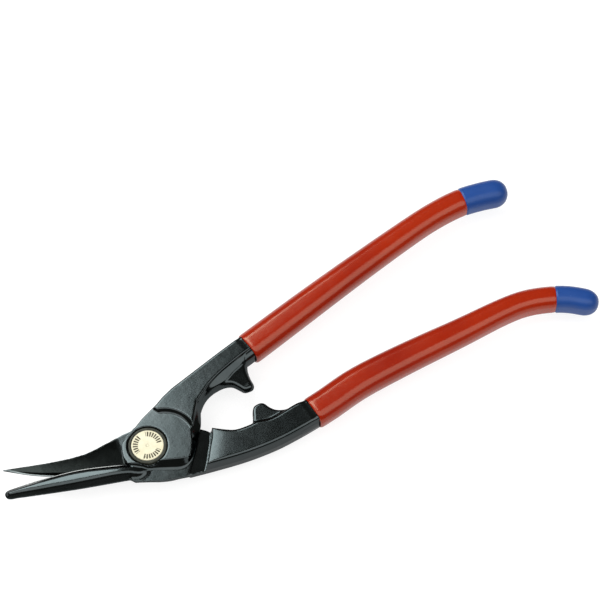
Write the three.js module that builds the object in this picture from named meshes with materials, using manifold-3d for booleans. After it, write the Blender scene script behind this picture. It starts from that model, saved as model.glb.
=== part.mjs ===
// Offset tin snips with one pivot: two forged levers, dipped grips and a pivot bolt with a brass disc.
// Units are millimetres, +Z is up along the pivot axis and +X runs from the blades to the handles.
import * as THREE from 'three';
import { mergeVertices } from 'three/addons/utils/BufferGeometryUtils.js';
import { LoftGeometry } from 'three/addons/geometries/LoftGeometry.js';
import Module from 'manifold-3d';

const wasm = await Module();
wasm.setup();

// Driving dimensions. Heights inside the model are measured from the plane where the blades shear.
const SHEAR_Z = 13;             // height of the shear plane above the bolt's end face
const SAME_POINT = 0.01;        // points of an outline closer than this are one point
const HALF_GAP = 0.15;          // each lever stands this far off the shear plane
const CLEARANCE = 0.3;          // gap between pieces that touch
const STACK_GAP = 0.1;          // gap between the flat faces of the fastener stack
const HANDLE_HALF = 6;          // half thickness of the bare handle bars
const FRONT_FACE = 4.6;         // height of the front boss face off the shear plane
const REAR_FACE = 5;            // depth of the rear boss face below it
const TOE_TOP = 1.4;            // height of the toe below the front boss
const SHOULDER_HALF = 4.2;      // half thickness of the step between the front bar and its web
const WEB_HALF = 3;             // half thickness of the webs and stop nubs
const TANG_HALF = 5;            // half thickness of the tangs inside the grips
const EDGE_BEVEL = 1.2;         // bevel along the forged edges
const GRIP_WALL = 1.4;          // wall of the dipped grips
const GRIP_HALF = TANG_HALF + GRIP_WALL;
const GRIP_ROUNDING = 0.75;     // corner radius of a grip's section as a share of its half size
const CAP_LENGTH = 0.95;        // length of a grip's closed end as a share of its half height
const CAP_TURNS = [0.3, 0.6, 0.82, 0.96];   // where its sections stand on the quarter turn
const CAP_FLAT = 0.15;          // share of the section left at its very end
const GRIP_END = 0.985;         // share of the handle line where the closed end begins
const SLEEVE_GAP = 0.001;       // share of the handle line between a sleeve and its end

const HEAD_RADIUS = 8.5;
const HEAD_SEAT = 1.6;          // height of the counterbore floor
const HEAD_TOP = 4.4;
const DISC_RADIUS = 7.15;
const DISC_FLOOR = 3.6;         // floor of the recess that holds the disc
const DISC_TOP = 4.55;
const DIMPLE_RADIUS = 0.9;
const NECK_SIDE = 9.6;          // square neck that keys the bolt to the front lever
const SHANK_RADIUS = 5;
const BORE_RADIUS = SHANK_RADIUS + CLEARANCE;

const WASHER_RADIUS = 9.5;
const WASHER_HEIGHT = 1;
const SPRING_RADIUS = 8.4;
const SPRING_HEIGHT = 1.6;
const SPRING_SPLIT = 1.2;
const NUT_ACROSS_FLATS = 16;
const NUT_HEIGHT = 4.6;
const NUT_CHAMFER = 0.6;

// Colours
const ENAMEL = 0x23272a;
const GRIP_RED = 0xa5290f;
const GRIP_BLUE = 0x2f5596;
const BRASS = 0xe6d39a;
const ZINC = 0x8d9194;

function points(pairs) {
  return pairs.map(([x, y]) => new THREE.Vector2(x, y));
}

// An outline of straight runs and curves: each entry is ['line', [x, y], ...] or ['curve', [x, y], ...].
// A curve runs smoothly from the last point so far through its own points.
function outline(start, runs) {
  const stepsPerPoint = 2;
  const corners = points([start]);
  for (const [kind, ...pairs] of runs) {
    let next = points(pairs);
    if (kind === 'curve') {
      const spline = new THREE.SplineCurve([corners.at(-1), ...next]);
      next = spline.getPoints(stepsPerPoint * next.length);
    }
    corners.push(...next.filter((point) => point.distanceTo(corners.at(-1)) > SAME_POINT));
  }
  return new THREE.Shape(corners);
}

// A slab between two heights, with its top and bottom edges bevelled inwards by the given amount.
function slab(shape, bottom, top, bevel = 0) {
  const settings = { depth: top - bottom, bevelEnabled: false };
  if (bevel > 0) {
    settings.depth = top - bottom - 2 * bevel;
    settings.bevelEnabled = true;
    settings.bevelThickness = bevel;
    settings.bevelSize = bevel;
    settings.bevelOffset = -bevel;
    settings.bevelSegments = 2;
  }
  const geometry = new THREE.ExtrudeGeometry(shape, settings);
  geometry.translate(0, 0, bottom + bevel);
  return geometry;
}

function cone(bottomRadius, topRadius, bottom, top, segments, x = 0, y = 0) {
  const geometry = new THREE.CylinderGeometry(topRadius, bottomRadius, top - bottom, segments);
  geometry.rotateX(Math.PI / 2);
  geometry.translate(x, y, (top + bottom) / 2);
  return geometry;
}

function disc(radius, bottom, top, segments = 40) {
  return cone(radius, radius, bottom, top, segments);
}

function box(width, depth, bottom, top, x = 0, y = 0) {
  const geometry = new THREE.BoxGeometry(width, depth, top - bottom);
  geometry.translate(x, y, (top + bottom) / 2);
  return geometry;
}

// manifold-3d solids, used only to join and cut
function solid(geometry) {
  const bare = new THREE.BufferGeometry();
  bare.setAttribute('position', geometry.attributes.position);
  bare.setIndex(geometry.index);
  const merged = mergeVertices(bare, 1e-3);
  const mesh = new wasm.Mesh({
    numProp: 3,
    vertProperties: new Float32Array(merged.attributes.position.array),
    triVerts: new Uint32Array(merged.index.array),
  });
  mesh.merge();
  return new wasm.Manifold(mesh);
}

function join(...geometries) {
  return geometries.map(solid).reduce((sum, next) => sum.add(next));
}

function geometryOf(body) {
  const { vertProperties, triVerts, numProp } = body.getMesh();
  const geometry = new THREE.BufferGeometry();
  const positions = new Float32Array((vertProperties.length / numProp) * 3);
  for (let i = 0; i < positions.length / 3; i += 1) {
    positions.set(vertProperties.subarray(i * numProp, i * numProp + 3), i * 3);
  }
  geometry.setAttribute('position', new THREE.BufferAttribute(positions, 3));
  geometry.setIndex(new THREE.BufferAttribute(new Uint32Array(triVerts), 1));
  return geometry;
}

// Handle centrelines, from the bare bar to the end of the grip
const FRONT_LINE = new THREE.SplineCurve(points([
  [48, 22.6], [64, 26.7], [94, 34.7], [122, 41.9], [150, 48.6], [166, 51.8], [180, 53.1], [190.5, 52.2],
  [200.5, 50.2],
]));
const REAR_LINE = new THREE.SplineCurve(points([
  [56, -16], [66, -16.1], [80, -14], [98, -10.4], [122, -8.5], [150, -7.3], [172, -6.1], [184, -6.6],
  [194.5, -9.3], [203, -13.1], [211.3, -19],
]));

// Half widths of the grips at even steps along their lines: full in front, slimmer before the end
const FRONT_WIDTHS = evenly([7.3, 7.1, 6.5, 5.9, 6.2]);
const REAR_WIDTHS = evenly([7.2, 7.3, 6.7, 5.6, 5.3]);

function evenly(values) {
  return new THREE.SplineCurve(points(values.map((value, i) => [i, value])));
}

function roundedSection(centre, across, halfWidth, halfHeight, radius) {
  const section = [];
  const corners = [[1, 1, 0], [-1, 1, 1], [-1, -1, 2], [1, -1, 3]];
  const steps = 3;
  for (const [sx, sz, quarter] of corners) {
    for (let i = 0; i < steps; i += 1) {
      const angle = (quarter + i / (steps - 1)) * Math.PI / 2;
      const side = sx * (halfWidth - radius) + radius * Math.cos(angle);
      const lift = sz * (halfHeight - radius) + radius * Math.sin(angle);
      section.push(new THREE.Vector3(centre.x + across.x * side, centre.y + across.y * side, lift));
    }
  }
  return section;
}

// A bar along part of a handle line. inset is taken off the grip's outside; rounded closes the far end.
function handleBar(line, widths, from, to, inset, rounded = false, stations = 18) {
  const sections = [];
  for (let i = 0; i <= stations; i += 1) {
    const t = from + (to - from) * i / stations;
    sections.push(barSection(line, widths, t, inset, 1));
  }
  if (rounded) {
    const capLength = (GRIP_HALF - inset) * CAP_LENGTH;
    for (const turn of CAP_TURNS) {
      const angle = turn * Math.PI / 2;
      const scale = THREE.MathUtils.lerp(CAP_FLAT, 1, Math.cos(angle));
      const section = barSection(line, widths, to, inset, scale);
      const ahead = line.getTangentAt(to).multiplyScalar(capLength * Math.sin(angle));
      sections.push(section.map((p) => p.add(new THREE.Vector3(ahead.x, ahead.y, 0))));
    }
  }
  return new LoftGeometry(sections, { capStart: true, capEnd: true });
}

function barSection(line, widths, t, inset, scale) {
  const centre = line.getPointAt(t);
  const tangent = line.getTangentAt(t);
  const across = new THREE.Vector2(-tangent.y, tangent.x);
  const halfWidth = (widths.getPoint(t).y - inset) * scale;
  const halfHeight = (GRIP_HALF - inset) * scale;
  const radius = Math.min(halfWidth, halfHeight) * GRIP_ROUNDING;
  return roundedSection(centre, across, halfWidth, halfHeight, radius);
}

// A blade between its edge and back lines: a land at the cutting edge, a steep rise, a crowned face and a
// wall down to the back. side is 1 for the blade above the shear plane and -1 for the one below it.
// heights and depths give the crown's height and the shear face's relief at even steps along the blade.
function blade(edge, back, heights, depths, land, backHeight, side, stations = 15) {
  const riseSlope = 1.35;
  const wallSlope = 1.4;
  const shoulder = 0.92;       // height of the crown's sides as a share of its middle
  const widestSide = 0.4;      // the rise and the wall each take at most this share of the width
  const reliefStart = 3.2;
  const thinnest = 0.05;
  const sections = [];
  for (let i = 0; i <= stations; i += 1) {
    const t = i / stations;
    const width = edge.getPoint(t).distanceTo(back.getPoint(t));
    const at = (distance, height) => {
      const place = edge.getPoint(t).lerp(back.getPoint(t), distance / width);
      return new THREE.Vector3(place.x, place.y, side * height);
    };
    const crown = heights.getPoint(t).y;
    const relief = HALF_GAP + depths.getPoint(t).y;
    const rise = Math.min((crown * shoulder - land) / riseSlope, width * widestSide);
    const wall = Math.min((crown * shoulder - backHeight) / wallSlope, width * widestSide);
    const backInset = Math.max(0, relief - backHeight) / wallSlope;
    const section = [
      at(0, HALF_GAP),
      at(0, land),
      at(rise, crown * shoulder),
      at(width / 2, crown),
      at(width - wall, crown * shoulder),
      at(width - backInset, Math.max(backHeight, relief + thinnest)),
      at(width - backInset, relief),
      at(Math.min(reliefStart, width / 2), relief),
    ];
    sections.push(section.reverse());
  }
  return new LoftGeometry(sections, { capStart: true, capEnd: true });
}

function curve(...pairs) {
  return new THREE.SplineCurve(points(pairs));
}

// Fractions of the handle lines
const TANG_START = 0.02;
const FRONT_MOUTH = 0.077;
const REAR_MOUTH = 0.106;
const FRONT_JOINT = 0.88;      // where the red grip ends and the blue end begins
const REAR_JOINT = 0.895;
const TANG_END = 0.955;

// The front boss: its face is smaller than its foot, so its lower side slopes down to the toe.
function frontBoss() {
  const left = [[-11.9, -1.6], [-11.6, 0.9], [-10.9, 3.6], [-9.4, 6.2], [-4.8, 8.6], [2.9, 13],
    [20.2, 20.6]];
  const face = outline([-11.6, -4], [
    ['line', ...left, [27, 20], [26.6, 8]],
    ['curve', [20.5, -1], [18.6, -6.4], [16.3, -11], [14.3, -12.9]],
    ['line', [8.3, -10.7], [2, -8.6], [-4.5, -7]],
  ]);
  const foot = outline([-11.4, -4.6], [
    ['line', ...left, [28, 20], [28.6, 7.5]],
    ['curve', [25.4, -0.1], [21.8, -4.8], [18.4, -9.4], [15.6, -12.4], [13, -14.1], [10.6, -14.6]],
    ['line', [8.3, -14.2], [3.9, -12.4], [-0.9, -10.3], [-5, -8.9], [-10.6, -7.2]],
  ]);
  const top = solid(slab(face, TOE_TOP, FRONT_FACE, 0.3));
  const bottom = solid(slab(foot, 0, TOE_TOP));
  return wasm.Manifold.hull([top, bottom]);
}

function frontLever() {
  const toe = outline([-12.2, -8.6], [
    ['line', [-12.1, -11]],
    ['curve', [-11.3, -12.5], [-9.4, -13.3], [0, -17.2], [5.2, -18.4], [9.8, -19.5], [12.4, -17.8],
      [15.4, -14], [18.8, -9.8], [21.8, -5.4]],
    ['line', [21, -2], [-8, 0]],
  ]);
  const bar = outline([8.5, 15.7], [
    ['line', [20.2, 20.4], [45, 27.4], [57.8, 30.7], [59.8, 23.4]],
    ['curve', [53.4, 21.6], [47.6, 19.8], [42.2, 17.9], [36.3, 15.2], [31.7, 12.2], [27.9, 9.6]],
    ['line', [24.8, 5], [21.6, 0], [18, 0]],
  ]);
  const shoulder = outline([12, 16], [
    ['line', [20.2, 20], [45, 27], [57.8, 30.2], [60.2, 21.2]],
    ['curve', [57.5, 20.8], [53, 18.7], [48.9, 17.2], [45.6, 15.5], [41.8, 14.2], [38.1, 13.6],
      [33.5, 12.6], [29.6, 9.9], [25.5, 2]],
    ['line', [18, 1]],
  ]);
  const web = outline([25.4, -0.1], [
    ['curve', [28, 5.8], [32.2, 10], [37, 12.1], [41.6, 12.6], [45.4, 11.6], [47.6, 9.2], [49.4, 6.8],
      [51.6, 6.2], [53.8, 6.5], [54.8, 9], [54.6, 13], [56, 18], [58.4, 21]],
    ['line', [44, 24], [22, 12]],
  ]);
  const edge = curve([-1, -6.9], [-14, -2], [-31, 3.4], [-47, 6.1], [-60, 7.4], [-64.8, 6.3]);
  const back = curve([-3, -11], [-14.3, -10.2], [-34, -5.2], [-50, -0.8], [-61, 2.6], [-64.9, 4.4]);
  const heights = evenly([3, 4.3, 3.9, 3.4, 3, 2.8]);
  const flat = evenly([0, 0]);
  // The boss lies lower than the bar, inside an arc with a sloping wall
  const arcRadius = 13.7;
  const arcSlope = 1.1;
  const arcTop = HANDLE_HALF + 1;
  const widerRadius = arcRadius + arcSlope * (arcTop - FRONT_FACE);
  const arc = cone(arcRadius, widerRadius, FRONT_FACE, arcTop, 64, 7.2, -1.2);
  // Room below the shear plane for the rear lever's boss, at every angle of the hinge
  const sweep = outline([-30, -30], [
    ['line', [30, -30], [40, 2], [30, 6.4], [22.4, 5.4]],
    ['curve', [21, 10.4], [17.5, 15]],
    ['line', [15, 22], [-30, 30]],
  ]);
  const neckHole = NECK_SIDE + 2 * CLEARANCE;
  const forging = join(
    slab(bar, -HANDLE_HALF, HANDLE_HALF, EDGE_BEVEL),
    slab(shoulder, -SHOULDER_HALF, SHOULDER_HALF, EDGE_BEVEL * 0.6),
    slab(web, -WEB_HALF, WEB_HALF, EDGE_BEVEL * 0.5),
    slab(toe, -TOE_TOP, TOE_TOP, EDGE_BEVEL * 0.4),
    handleBar(FRONT_LINE, FRONT_WIDTHS, TANG_START, TANG_END, GRIP_WALL, true),
  );
  const finished = forging
    .subtract(solid(arc))
    .add(frontBoss())
    .subtract(solid(slab(sweep, -HANDLE_HALF - 1, HALF_GAP)))
    .add(solid(blade(edge, back, heights, flat, 0.9, 0.3, 1)))
    .subtract(solid(disc(HEAD_RADIUS + CLEARANCE, HEAD_SEAT, HANDLE_HALF + 1)))
    .subtract(solid(box(neckHole, neckHole, -1, HANDLE_HALF)));
  return geometryOf(finished);
}

function rearLever() {
  const boss = outline([-2, 12], [
    ['curve', [-6.8, 9.4], [-10.1, 5.2], [-11.1, 0], [-10.8, -5], [-9.9, -10], [-3, -14], [3, -16.3],
      [8, -17.3], [13, -18.2]],
    ['line', [31, -21], [34, -7], [29, -4.4]],
    ['curve', [25.6, -1], [20.4, 2.4], [15.4, 7.4], [9.4, 11.4], [2, 12.8]],
  ]);
  const bar = outline([12, -18.4], [
    ['curve', [24, -20.4], [38, -22.2], [52, -22.7], [64, -21.8], [72, -20.6]],
    ['line', [71.2, -9.6]],
    ['curve', [66.5, -9.7], [60, -10.6], [54, -11.2], [48, -10], [44, -10.1], [38.2, -9.6], [34, -7.6],
      [29, -4.4]],
    ['line', [24, -6]],
  ]);
  const web = outline([42, -15], [
    ['line', [44.5, -10.4]],
    ['curve', [46.6, -8.8], [47.8, -6.6], [48.8, -4], [50, -2.2], [51.6, -1.6], [53.6, -1.6],
      [55.2, -2.6], [56.6, -5.2], [58.6, -7.4], [61.6, -8.8], [65, -9.5]],
    ['line', [67, -15]],
  ]);
  const edge = curve([-4, -9], [-14, -5.4], [-30, 0.4], [-40, 4.4], [-51, 10.2], [-61.6, 17.4]);
  const back = curve([-4, 13.6], [-11.4, 13.1], [-25, 11.1], [-38.2, 12.3], [-50.5, 15], [-61.8, 17.9]);
  const heights = evenly([5, 5, 4, 3.2, 2.4, 1.6]);
  const depths = evenly([0, 2.3, 1.4, 0.7, 0.3, 0]);
  // Room above the shear plane for the front lever's boss and toe, at every angle of the hinge
  const sweep = outline([-40, -40], [
    ['line', [10.6, -40], [17.4, -21]],
    ['curve', [20.4, -17.4], [24, -11.6], [26.6, -7.6], [28.4, -3]],
    ['line', [30, 30], [-40, 30]],
  ]);
  const forging = join(
    slab(boss, -REAR_FACE, 0, EDGE_BEVEL * 0.5),
    slab(bar, -HANDLE_HALF, HANDLE_HALF, EDGE_BEVEL),
    slab(web, -WEB_HALF, WEB_HALF, EDGE_BEVEL * 0.5),
    handleBar(REAR_LINE, REAR_WIDTHS, TANG_START, TANG_END, GRIP_WALL, true),
  );
  const finished = forging
    .subtract(solid(slab(sweep, -HALF_GAP, HANDLE_HALF + 1)))
    .subtract(solid(disc(WASHER_RADIUS + 1.5, -HANDLE_HALF - 1, -REAR_FACE, 48)))
    .add(solid(blade(edge, back, heights, depths, 1, 1.2, -1)))
    .subtract(solid(disc(BORE_RADIUS, -HANDLE_HALF - 1, HANDLE_HALF)));
  return geometryOf(finished);
}

// The red sleeve is open at both ends and slides over the tang; the blue end closes over the tang's tip.
function gripSleeve(line, widths, from, to) {
  const outer = solid(handleBar(line, widths, from, to - SLEEVE_GAP, 0));
  const inner = solid(handleBar(line, widths, TANG_START, TANG_END, GRIP_WALL - CLEARANCE, true));
  return geometryOf(outer.subtract(inner));
}

function gripEnd(line, widths, from) {
  const outer = solid(handleBar(line, widths, from + SLEEVE_GAP, GRIP_END, 0, true, 6));
  const inner = solid(handleBar(line, widths, TANG_START, TANG_END, GRIP_WALL - CLEARANCE, true));
  return geometryOf(outer.subtract(inner));
}

function pivotBolt() {
  const end = -SHEAR_Z;
  const chamfer = 0.8;
  const profile = points([
    [0, end], [SHANK_RADIUS - chamfer, end], [SHANK_RADIUS, end + chamfer],
    [SHANK_RADIUS, HEAD_SEAT + STACK_GAP],
    [HEAD_RADIUS, HEAD_SEAT + STACK_GAP], [HEAD_RADIUS, HEAD_TOP - 0.4], [HEAD_RADIUS - 0.4, HEAD_TOP],
    [DISC_RADIUS + CLEARANCE, HEAD_TOP], [DISC_RADIUS + CLEARANCE, DISC_FLOOR], [0, DISC_FLOOR],
  ]);
  const turned = new THREE.LatheGeometry(profile, 48);
  turned.rotateX(Math.PI / 2);
  const neck = box(NECK_SIDE, NECK_SIDE, HALF_GAP, HEAD_SEAT + 0.5);
  return geometryOf(join(turned, neck));
}

function pivotDisc() {
  const bottom = DISC_FLOOR + STACK_GAP;
  const profile = points([
    [0, bottom], [DISC_RADIUS, bottom], [DISC_RADIUS, DISC_TOP - 0.2], [DISC_RADIUS - 0.2, DISC_TOP],
    [DIMPLE_RADIUS, DISC_TOP], [0, DISC_TOP - 0.5],
  ]);
  const geometry = new THREE.LatheGeometry(profile, 48);
  geometry.rotateX(Math.PI / 2);
  return geometryOf(join(geometry));
}

const WASHER_TOP = -REAR_FACE - STACK_GAP;
const SPRING_TOP = WASHER_TOP - WASHER_HEIGHT - STACK_GAP;
const NUT_TOP = SPRING_TOP - SPRING_HEIGHT - STACK_GAP;

function ring(inner, outer, bottom, top, chamfer = 0) {
  const profile = points([
    [inner, bottom], [outer - chamfer, bottom], [outer, bottom + chamfer], [outer, top - chamfer],
    [outer - chamfer, top], [inner, top], [inner, bottom],
  ]);
  const geometry = new THREE.LatheGeometry(profile, 40);
  geometry.rotateX(Math.PI / 2);
  return geometry;
}

function pivotWasher() {
  return geometryOf(join(ring(BORE_RADIUS, WASHER_RADIUS, WASHER_TOP - WASHER_HEIGHT, WASHER_TOP, 0.15)));
}

function springWasher() {
  const bottom = SPRING_TOP - SPRING_HEIGHT;
  const whole = solid(ring(BORE_RADIUS, SPRING_RADIUS, bottom, SPRING_TOP, 0.2));
  const split = box(SPRING_RADIUS, SPRING_SPLIT, bottom - 1, SPRING_TOP + 1, SPRING_RADIUS);
  return geometryOf(whole.subtract(solid(split)));
}

function pivotNut() {
  const bottom = NUT_TOP - NUT_HEIGHT;
  const corner = NUT_ACROSS_FLATS / Math.sqrt(3);
  const hexagon = disc(corner, bottom, NUT_TOP, 6);
  const round = ring(BORE_RADIUS, corner, bottom, NUT_TOP, NUT_CHAMFER);
  return geometryOf(solid(hexagon).intersect(solid(round)));
}

const enamel = () => new THREE.MeshStandardMaterial({ color: ENAMEL, roughness: 0.25, metalness: 0.2 });
const red = () => new THREE.MeshStandardMaterial({ color: GRIP_RED, roughness: 0.3 });
const blue = () => new THREE.MeshStandardMaterial({ color: GRIP_BLUE, roughness: 0.35 });
const brass = () => new THREE.MeshStandardMaterial({ color: BRASS, roughness: 0.35, metalness: 1 });
const zinc = () => new THREE.MeshStandardMaterial({ color: ZINC, roughness: 0.4, metalness: 1 });

function named(name, geometry, material) {
  const mesh = new THREE.Mesh(geometry, material);
  mesh.name = name;
  return mesh;
}

const snips = new THREE.Group();
snips.position.z = SHEAR_Z;
snips.add(
  named('front_lever', frontLever(), enamel()),
  named('rear_lever', rearLever(), enamel()),
  named('front_grip_sleeve', gripSleeve(FRONT_LINE, FRONT_WIDTHS, FRONT_MOUTH, FRONT_JOINT), red()),
  named('rear_grip_sleeve', gripSleeve(REAR_LINE, REAR_WIDTHS, REAR_MOUTH, REAR_JOINT), red()),
  named('front_grip_end', gripEnd(FRONT_LINE, FRONT_WIDTHS, FRONT_JOINT), blue()),
  named('rear_grip_end', gripEnd(REAR_LINE, REAR_WIDTHS, REAR_JOINT), blue()),
  named('pivot_bolt', pivotBolt(), enamel()),
  named('pivot_disc', pivotDisc(), brass()),
  named('pivot_washer', pivotWasher(), zinc()),
  named('pivot_spring_washer', springWasher(), zinc()),
  named('pivot_nut', pivotNut(), zinc()),
);

export default snips;
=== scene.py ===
import math

import bpy
import numpy as np
from mathutils import Matrix, Vector

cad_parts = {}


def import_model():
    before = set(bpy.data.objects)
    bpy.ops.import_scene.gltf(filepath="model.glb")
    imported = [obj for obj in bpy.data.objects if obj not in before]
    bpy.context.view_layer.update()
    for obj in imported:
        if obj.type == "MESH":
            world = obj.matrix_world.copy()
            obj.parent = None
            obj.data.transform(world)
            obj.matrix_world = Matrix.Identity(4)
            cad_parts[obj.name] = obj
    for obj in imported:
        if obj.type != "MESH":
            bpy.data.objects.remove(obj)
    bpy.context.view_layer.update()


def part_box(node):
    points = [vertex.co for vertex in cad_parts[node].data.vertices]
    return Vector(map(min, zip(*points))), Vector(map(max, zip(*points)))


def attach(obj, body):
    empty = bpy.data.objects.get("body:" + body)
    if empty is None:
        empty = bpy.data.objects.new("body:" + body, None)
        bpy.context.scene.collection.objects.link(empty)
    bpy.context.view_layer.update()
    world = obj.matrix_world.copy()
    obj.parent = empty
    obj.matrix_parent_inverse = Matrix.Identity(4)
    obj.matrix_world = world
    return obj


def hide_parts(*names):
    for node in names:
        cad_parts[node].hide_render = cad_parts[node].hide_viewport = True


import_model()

MM = 0.001
BOLT_END = -13.0                          # the bolt's rear end, from the shear plane
# Shapes are drawn in millimetres about the shear plane, which lies at this height in the frame.
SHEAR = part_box("pivot_bolt")[0].z * 1000 - BOLT_END
FINE = 0.36        # cell of the forgings' surface grids
SMALL = 0.22       # cell of the fasteners' grids

# Heights and half thicknesses, from the shear plane
HALF_GAP = 0.15                           # half the gap between the two blades
HANDLE = 6.0                              # handle bars
WEB = 3.0                                 # front lever's thin inner side, and the rear stop nub
FACE = 4.6                                # front boss
TOE = 1.35
REAR_BOSS = 5.0
HEAD_SEAT, HEAD_TOP = 1.6, 4.4            # the bolt's head
DISC_FLOOR, DISC_TOP = 3.6, 4.55          # the disc let into it
WASHER, SPRING, NUT = (-6.1, -5.1), (-7.8, -6.2), (-12.5, -7.9)   # lower and upper faces

# Radii about the pivot, each hole beside what it holds
WELL, HEAD, DISC = 8.8, 8.5, 7.15
NECK_HOLE, NECK = 5.1, 4.8                # half widths: these two are square
BORE, SHANK = 5.3, 5.0
SEAT = 11.0                               # the rear boss's seat for the washer

# Grips
GRIP_HALF = 6.4                           # half thickness
GRIP_WALL = 1.4
TANG_HALF, TANG_WIDTH, TANG_EDGE = 5.0, 5.75, 3.2   # half thickness, half width, rounding of the edges
FIT_WIDTH, FIT_EDGE = 6.7, 3.4            # the same for the bar where it enters a sleeve
CAP = 7.0                                 # length of the blue ends' round caps
CAP_SWELL = 0.12                          # how far the blue ends stand out past the red sleeves
AROUND = 72                               # points round a grip


# ---------------------------------------------------------------- curves and distances

def spline(knots, steps=6):
    """A smooth curve through its knots, as an array of points."""
    p = np.array(knots, float)
    p = np.vstack([2 * p[0] - p[1], p, 2 * p[-1] - p[-2]])
    out = []
    for i in range(1, len(p) - 2):
        for t in np.arange(steps) / steps:
            a, b, c, d = p[i - 1:i + 3]
            out.append(0.5 * (2 * b + (c - a) * t + (2 * a - 5 * b + 4 * c - d) * t ** 2
                              + (3 * b - a - 3 * c + d) * t ** 3))
    out.append(p[-2])
    return np.array(out)


def shape(*runs):
    """A closed outline from runs of points; a run given as a tuple is a smooth curve."""
    parts = [spline(r, 4) if isinstance(r, tuple) else np.array(r, float) for r in runs]
    return np.vstack(parts)


def nearer(best, d):
    """The smaller of two distances, of which the first may not be there yet."""
    return d if best is None else np.minimum(best, d)


def segment(a, b, x, y):
    """Squared distance from points to the straight line between a and b."""
    ex, ey = b - a
    px, py = x - a[0], y - a[1]
    t = np.clip((px * ex + py * ey) / (ex * ex + ey * ey + 1e-12), 0, 1)
    return (px - ex * t) ** 2 + (py - ey * t) ** 2


def to_line(line, x, y):
    """Unsigned distance from points to an open line."""
    best = None
    for a, b in zip(line[:-1], line[1:]):
        best = nearer(best, segment(a, b, x, y))
    return np.sqrt(best)


def to_shape(outline, x, y):
    """Distance to a closed outline, negative inside it."""
    best, inside = None, np.zeros(np.broadcast(x, y).shape, bool)
    for a, b in zip(outline, np.roll(outline, -1, axis=0)):
        if np.hypot(*(b - a)) < 1e-6:
            continue
        best = nearer(best, segment(a, b, x, y))
        if a[1] != b[1]:
            crosses = (a[1] > y) != (b[1] > y)
            inside ^= crosses & (x < (b[0] - a[0]) * (y - a[1]) / (b[1] - a[1]) + a[0])
    return np.where(inside, -1, 1) * np.sqrt(best)


# ---------------------------------------------------------------- solids as distance fields

# A sloping face is scaled by about the cosine of its slope, so that its field stays a true distance
# and its fillets keep their size.

def slab(d, z, low, high, edge):
    """An outline's distance d made into a slab with rounded edges."""
    q = d + edge
    w = np.abs(z - (low + high) / 2) - (high - low) / 2 + edge
    return np.minimum(np.maximum(q, w), 0) + np.hypot(np.maximum(q, 0), np.maximum(w, 0)) - edge


def union(a, b, fillet=0.0):
    """Both solids, with a fillet where they meet."""
    if fillet == 0:
        return np.minimum(a, b)
    h = np.clip(0.5 + 0.5 * (b - a) / fillet, 0, 1)
    return b + (a - b) * h - fillet * h * (1 - h)


def cut(a, b, fillet=0.0):
    """The first solid with the second taken away."""
    return -union(-a, b, fillet)


def common(a, b, fillet=0.0):
    """What the two solids share."""
    return -union(-a, -b, fillet)


def ease(t):
    """Goes from 0 to 1, level at both ends."""
    t = np.clip(t, 0, 1)
    return t * t * (3 - 2 * t)


def ramp(near, far, z_near, z_far):
    """Height of a slope from the outline whose distance is near to the one whose distance is far."""
    u = np.clip(near / np.maximum(near - far, 1e-6), 0, 1)
    return z_near + (z_far - z_near) * u


# ---------------------------------------------------------------- meshing

SAMPLE = 0.05                             # reach of the slope's samples, in cells


def contour(field, low, high, cell):
    """Vertices and quads of a field's zero surface, with its edges kept sharp."""
    axes = [np.arange(a, b + cell, cell, dtype=np.float32) for a, b in zip(low, high)]
    grid = np.meshgrid(*axes, indexing="ij", sparse=True)
    value = np.asarray(field(*grid), np.float32)
    value = np.broadcast_to(value, [len(a) for a in axes])
    inside = value < 0
    cells_shape = np.array(value.shape) - 1
    crossings, corners, flips = [], [], []
    for axis in range(3):
        first = [slice(None)] * 3
        last = [slice(None)] * 3
        first[axis], last[axis] = slice(0, -1), slice(1, None)
        one, two = inside[tuple(first)], inside[tuple(last)]
        at = np.argwhere(one != two)
        others = [a for a in range(3) if a != axis]
        keep = np.all([(at[:, a] > 0) & (at[:, a] < cells_shape[a]) for a in others], axis=0)
        at = at[keep]
        end = at.copy()
        end[:, axis] += 1
        v0, v1 = value[tuple(at.T)], value[tuple(end.T)]
        points = np.array([axes[a][0] + at[:, a] * cell for a in range(3)]).T
        points[:, axis] += cell * v0 / (v0 - v1)
        ring = []
        for step in ((-1, -1), (0, -1), (0, 0), (-1, 0)):
            near = at.copy()
            near[:, others[0]] += step[0]
            near[:, others[1]] += step[1]
            ring.append(np.ravel_multi_index(near.T, cells_shape))
        crossings.append(points)
        corners.append(np.array(ring).T)
        flips.append(one[tuple(at.T)] ^ (axis == 1))
    points, corners = np.vstack(crossings), np.vstack(corners)
    flips = np.concatenate(flips)
    normals = slope_of(field, points, cell * SAMPLE)
    ids, quads = np.unique(corners, return_inverse=True)
    quads = quads.reshape(corners.shape)
    vertices = best_points(points, normals, quads, ids, cells_shape, axes, cell)
    quads[~flips] = quads[~flips][:, ::-1]
    return relax(field, vertices, quads, cell), quads


def relax(field, vertices, quads, cell):
    """Spaces the vertices evenly and puts them back on the surface each time."""
    rounds, share = 2, 0.5
    one, two = quads.ravel(), np.roll(quads, -1, axis=1).ravel()
    count = len(vertices)
    number = np.bincount(one, minlength=count) + np.bincount(two, minlength=count)
    for _ in range(rounds):
        total = np.array([np.bincount(one, weights=vertices[two, a], minlength=count)
                          + np.bincount(two, weights=vertices[one, a], minlength=count)
                          for a in range(3)]).T
        vertices = vertices + share * (total / number[:, None] - vertices)
        value = np.clip(field(*vertices.T), -cell, cell)
        vertices = vertices - slope_of(field, vertices, cell * SAMPLE) * value[:, None]
    return vertices


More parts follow.
